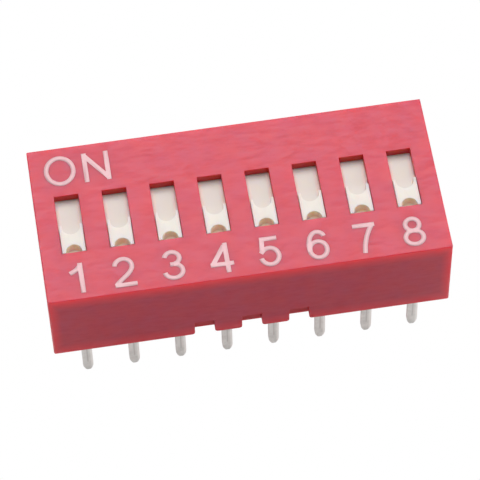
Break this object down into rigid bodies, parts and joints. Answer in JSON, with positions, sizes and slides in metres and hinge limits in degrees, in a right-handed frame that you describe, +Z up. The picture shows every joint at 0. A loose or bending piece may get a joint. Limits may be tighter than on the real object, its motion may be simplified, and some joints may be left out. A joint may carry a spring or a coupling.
{
  "type": "dip switch",
  "caption": "Through-hole DIP switch: a moulded cover with recessed slide actuators in slots over flat pins in two rows.",
  "frame": {"origin": "middle of the seating face, which is the underside of the body at the circuit board, between the two rows of pins", "axes": "+Z up, away from the board; +Y towards the ON end of the slots; +X along the row from switch 1 to switch 8"},
  "size_m": [0.0212, 0.0094, 0.0088],
  "materials": {
    "cover_plastic": "satin moulded",
    "base_plastic": "matt moulded",
    "slider_plastic": "satin moulded",
    "contact_spring": "gold flashed spring strip",
    "terminal_tin": "matt tin over copper alloy"
  },
  "bodies": {
    "housing": {"cover": "cover_plastic", "base": "base_plastic", "terminal_1": "terminal_tin", "terminal_2": "terminal_tin", "terminal_3": "terminal_tin", "terminal_4": "terminal_tin", "terminal_5": "terminal_tin", "terminal_6": "terminal_tin", "terminal_7": "terminal_tin", "terminal_8": "terminal_tin", "terminal_9": "terminal_tin", "terminal_10": "terminal_tin", "terminal_11": "terminal_tin", "terminal_12": "terminal_tin", "terminal_13": "terminal_tin", "terminal_14": "terminal_tin", "terminal_15": "terminal_tin", "terminal_16": "terminal_tin"},
    "actuator_1": {"slider_1": "slider_plastic", "contact_1": "contact_spring"},
    "actuator_2": {"slider_2": "slider_plastic", "contact_2": "contact_spring"},
    "actuator_3": {"slider_3": "slider_plastic", "contact_3": "contact_spring"},
    "actuator_4": {"slider_4": "slider_plastic", "contact_4": "contact_spring"},
    "actuator_5": {"slider_5": "slider_plastic", "contact_5": "contact_spring"},
    "actuator_6": {"slider_6": "slider_plastic", "contact_6": "contact_spring"},
    "actuator_7": {"slider_7": "slider_plastic", "contact_7": "contact_spring"},
    "actuator_8": {"slider_8": "slider_plastic", "contact_8": "contact_spring"}
  },
  "joints": [
    {"name": "switch_1", "type": "slide", "parent": "housing", "child": "actuator_1", "axis": [0, 1, 0], "range_m": [0, 0.0018]},
    {"name": "switch_2", "type": "slide", "parent": "housing", "child": "actuator_2", "axis": [0, 1, 0], "range_m": [0, 0.0018]},
    {"name": "switch_3", "type": "slide", "parent": "housing", "child": "actuator_3", "axis": [0, 1, 0], "range_m": [0, 0.0018]},
    {"name": "switch_4", "type": "slide", "parent": "housing", "child": "actuator_4", "axis": [0, 1, 0], "range_m": [0, 0.0018]},
    {"name": "switch_5", "type": "slide", "parent": "housing", "child": "actuator_5", "axis": [0, 1, 0], "range_m": [0, 0.0018]},
    {"name": "switch_6", "type": "slide", "parent": "housing", "child": "actuator_6", "axis": [0, 1, 0], "range_m": [0, 0.0018]},
    {"name": "switch_7", "type": "slide", "parent": "housing", "child": "actuator_7", "axis": [0, 1, 0], "range_m": [0, 0.0018]},
    {"name": "switch_8", "type": "slide", "parent": "housing", "child": "actuator_8", "axis": [0, 1, 0], "range_m": [0, 0.0018]}
  ]
}
